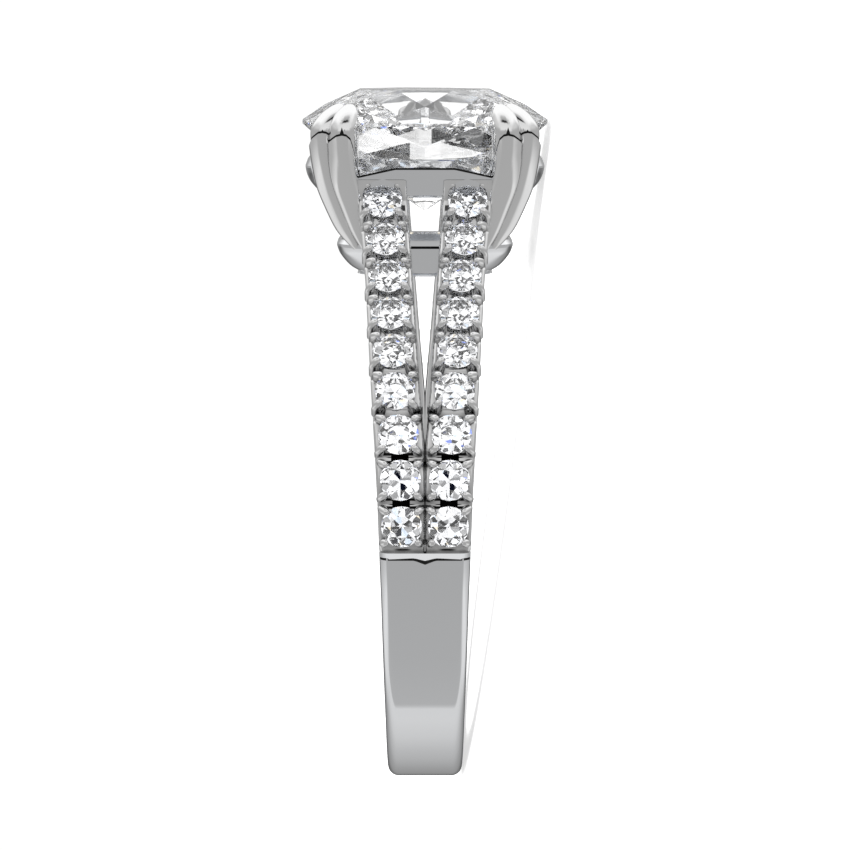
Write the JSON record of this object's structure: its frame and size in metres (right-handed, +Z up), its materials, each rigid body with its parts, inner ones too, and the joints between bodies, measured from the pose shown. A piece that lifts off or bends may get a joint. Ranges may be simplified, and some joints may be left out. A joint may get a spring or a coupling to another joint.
{
  "type": "split shank ring",
  "caption": "Finger ring whose band splits into two stone-set arms that carry an oblong cushion-cut stone in paired claws.",
  "frame": {"origin": "on the floor under the middle of the ring, which lies on its side", "axes": "+X from the bottom of the band towards the centre stone, +Y across the ring, +Z up; the finger hole leans 7.6 degrees from +Z"},
  "size_m": [0.0252, 0.0202, 0.0088],
  "materials": {
    "white_gold": "high polish",
    "diamond": "brilliant cut"
  },
  "bodies": {
    "root": {"setting": "white_gold", "centre_stone": "diamond", "small_stone_front_left_1": "diamond", "small_stone_front_left_2": "diamond", "small_stone_front_left_3": "diamond", "small_stone_front_left_4": "diamond", "small_stone_front_left_5": "diamond", "small_stone_front_left_6": "diamond", "small_stone_front_left_7": "diamond", "small_stone_front_left_8": "diamond", "small_stone_front_left_9": "diamond", "small_stone_front_right_1": "diamond", "small_stone_front_right_2": "diamond", "small_stone_front_right_3": "diamond", "small_stone_front_right_4": "diamond", "small_stone_front_right_5": "diamond", "small_stone_front_right_6": "diamond", "small_stone_front_right_7": "diamond", "small_stone_front_right_8": "diamond", "small_stone_front_right_9": "diamond", "small_stone_back_left_1": "diamond", "small_stone_back_left_2": "diamond", "small_stone_back_left_3": "diamond", "small_stone_back_left_4": "diamond", "small_stone_back_left_5": "diamond", "small_stone_back_left_6": "diamond", "small_stone_back_left_7": "diamond", "small_stone_back_left_8": "diamond", "small_stone_back_left_9": "diamond", "small_stone_back_right_1": "diamond", "small_stone_back_right_2": "diamond", "small_stone_back_right_3": "diamond", "small_stone_back_right_4": "diamond", "small_stone_back_right_5": "diamond", "small_stone_back_right_6": "diamond", "small_stone_back_right_7": "diamond", "small_stone_back_right_8": "diamond", "small_stone_back_right_9": "diamond"}
  },
  "joints": []
}
